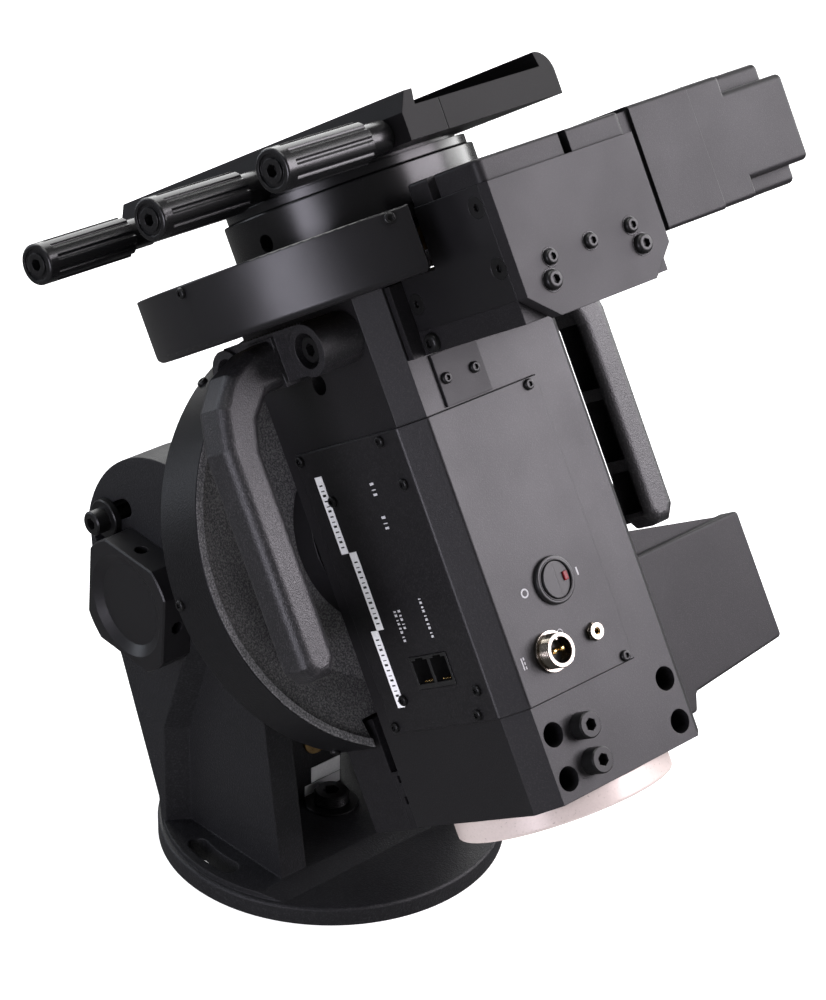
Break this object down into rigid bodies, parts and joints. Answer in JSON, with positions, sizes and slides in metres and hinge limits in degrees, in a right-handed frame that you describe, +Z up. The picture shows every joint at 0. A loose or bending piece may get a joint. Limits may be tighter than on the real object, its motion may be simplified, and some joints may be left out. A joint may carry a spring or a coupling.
{
  "type": "equatorial mount",
  "caption": "Heavy black German equatorial mount head with forked base, right ascension and declination drives, carrying handles and a dovetail saddle.",
  "frame": {"origin": "centre of the base disc's underside", "axes": "+Z up, +X level towards the pole side, +Y along the altitude axis"},
  "size_m": [0.3526, 0.3642, 0.4505],
  "materials": {
    "cast_black": "fine wrinkle powder coat",
    "anodised_black": "satin black anodised",
    "black_steel": "gloss black oxide",
    "bare_steel": "turned",
    "bronze": "turned",
    "champagne": "champagne anodised",
    "nickel": "nickel plated",
    "black_plastic": "semi gloss",
    "circuit": "solder mask"
  },
  "bodies": {
    "base": {"base_yoke": "cast_black", "center_bolt": "black_steel", "altitude_block": "cast_black", "altitude_bushes": "bronze"},
    "altitude_worm": {"altitude_worm": "bare_steel"},
    "ra_housing": {"ra_housing": "cast_black", "ra_rear_cap": "anodised_black", "pivot_pins": "bare_steel", "altitude_sector": "bronze", "ra_bearings": "bare_steel", "ra_worm_wheel": "bronze"},
    "pivot_nut_left": {"pivot_nut_left": "anodised_black"},
    "pivot_nut_right": {"pivot_nut_right": "anodised_black"},
    "altitude_lock_bolt_left": {"altitude_lock_bolt_left": "black_steel"},
    "altitude_lock_bolt_right": {"altitude_lock_bolt_right": "black_steel"},
    "ra_clutch_ring": {"ra_clutch_ring": "anodised_black"},
    "head": {"dec_housing": "anodised_black", "control_panel": "anodised_black", "cable_cover": "anodised_black", "circuit_board": "circuit", "rocker_bezel": "black_plastic", "power_connector": "nickel", "snap_jack": "nickel", "rj_jacks": "black_plastic", "handle_left": "cast_black", "handle_right": "cast_black", "handle_bolts": "black_steel", "small_screws": "black_steel", "end_cap_screws": "black_steel", "dec_gear_cover": "anodised_black", "dec_bearings": "bare_steel", "dec_worm_block": "cast_black", "dec_bearing_plate": "anodised_black", "dec_worm_cap": "cast_black", "dec_cover_plate": "anodised_black", "worm_cover_screws": "black_steel", "dec_motor_cover": "cast_black", "dec_motor_end_cover": "cast_black", "worm_bushes": "bronze", "dec_motor": "bare_steel", "ra_gear_cover": "anodised_black", "ra_shaft": "bare_steel", "ra_worm_block": "cast_black", "ra_worm_cap": "cast_black", "ra_motor": "bare_steel", "ra_motor_cover": "cast_black"},
    "rocker": {"rocker": "black_plastic"},
    "dec_worm": {"dec_worm": "bare_steel"},
    "ra_worm": {"ra_worm": "bare_steel"},
    "saddle": {"dec_shaft": "bare_steel", "dec_worm_wheel": "bronze", "weight_ring": "champagne", "saddle_plate": "anodised_black", "saddle_bolts": "black_steel"},
    "dec_clutch_ring": {"dec_clutch_ring": "anodised_black"},
    "clamp_jaw": {"clamp_jaw": "anodised_black"},
    "clamp_knob_1": {"clamp_knob_1": "anodised_black"},
    "clamp_knob_2": {"clamp_knob_2": "anodised_black"},
    "clamp_knob_3": {"clamp_knob_3": "anodised_black"}
  },
  "joints": [
    {"name": "altitude", "type": "hinge", "parent": "base", "child": "ra_housing", "pos_m": [-0.0508, 0, 0.149], "axis": [0, -1, 0], "range_deg": [-20, 20]},
    {"name": "altitude_worm_spin", "type": "hinge", "parent": "base", "child": "altitude_worm", "pos_m": [-0.05, 0, 0.049], "axis": [1, 0, 0], "range_deg": [-1440, 1440]},
    {"name": "pivot_nut_left_turn", "type": "hinge", "parent": "ra_housing", "child": "pivot_nut_left", "pos_m": [-0.0508, -0.086, 0.149], "axis": [0, -1, 0], "range_deg": [0, 60]},
    {"name": "pivot_nut_right_turn", "type": "hinge", "parent": "ra_housing", "child": "pivot_nut_right", "pos_m": [-0.0508, 0.086, 0.149], "axis": [0, 1, 0], "range_deg": [0, 60]},
    {"name": "altitude_lock_left_turn", "type": "hinge", "parent": "ra_housing", "child": "altitude_lock_bolt_left", "pos_m": [-0.08563, -0.08, 0.17981], "axis": [0, -1, 0], "range_deg": [0, 180]},
    {"name": "altitude_lock_right_turn", "type": "hinge", "parent": "ra_housing", "child": "altitude_lock_bolt_right", "pos_m": [-0.08563, 0.08, 0.17981], "axis": [0, 1, 0], "range_deg": [0, 180]},
    {"name": "ra_clutch_turn", "type": "hinge", "parent": "ra_housing", "child": "ra_clutch_ring", "pos_m": [0.00524, 0, 0.17877], "axis": [0.8591, 0, 0.5117], "range_deg": [0, 60]},
    {"name": "ra_axis", "type": "hinge", "parent": "ra_housing", "child": "head", "pos_m": [0.09373, 0, 0.23148], "axis": [0.8591, 0, 0.5117], "continuous": true},
    {"name": "ra_worm_spin", "type": "hinge", "parent": "head", "child": "ra_worm", "pos_m": [0.07062, 0, 0.11005], "axis": [0, 1, 0], "continuous": true},
    {"name": "dec_worm_spin", "type": "hinge", "parent": "head", "child": "dec_worm", "pos_m": [0.1077, 0, 0.38879], "axis": [0, 1, 0], "continuous": true},
    {"name": "rocker_tip", "type": "hinge", "parent": "head", "child": "rocker", "pos_m": [0.16617, -0.0085, 0.22516], "axis": [-0.5117, 0, 0.8591], "range_deg": [-14, 0]},
    {"name": "dec_axis", "type": "hinge", "parent": "head", "child": "saddle", "pos_m": [0.09373, 0, 0.23148], "axis": [-0.5117, 0, 0.8591], "continuous": true},
    {"name": "dec_clutch_turn", "type": "hinge", "parent": "saddle", "child": "dec_clutch_ring", "pos_m": [0.01492, 0, 0.36379], "axis": [-0.5117, 0, 0.8591], "range_deg": [0, 60]},
    {"name": "jaw_slide", "type": "slide", "parent": "saddle", "child": "clamp_jaw", "axis": [0.1279, -0.9889, 0.0762], "range_m": [0, 0.006]},
    {"name": "clamp_knob_1_turn", "type": "hinge", "parent": "clamp_jaw", "child": "clamp_knob_1", "pos_m": [-0.05928, -0.07169, 0.34543], "axis": [0.1279, -0.9889, 0.0762], "range_deg": [0, 1440]},
    {"name": "clamp_knob_2_turn", "type": "hinge", "parent": "clamp_jaw", "child": "clamp_knob_2", "pos_m": [0.01123, -0.05933, 0.38743], "axis": [0.1279, -0.9889, 0.0762], "range_deg": [0, 1440]},
    {"name": "clamp_knob_3_turn", "type": "hinge", "parent": "clamp_jaw", "child": "clamp_knob_3", "pos_m": [0.08175, -0.04698, 0.42943], "axis": [0.1279, -0.9889, 0.0762], "range_deg": [0, 1440]}
  ],
  "couplings": [
    {"joint": "altitude_worm_spin", "follows": "altitude", "ratio": 72},
    {"joint": "ra_worm_spin", "follows": "ra_axis", "ratio": 435},
    {"joint": "dec_worm_spin", "follows": "dec_axis", "ratio": 435},
    {"joint": "clamp_knob_1_turn", "follows": "jaw_slide", "rad_per_m": 4188.8},
    {"joint": "clamp_knob_2_turn", "follows": "jaw_slide", "rad_per_m": 4188.8},
    {"joint": "clamp_knob_3_turn", "follows": "jaw_slide", "rad_per_m": 4188.8}
  ]
}
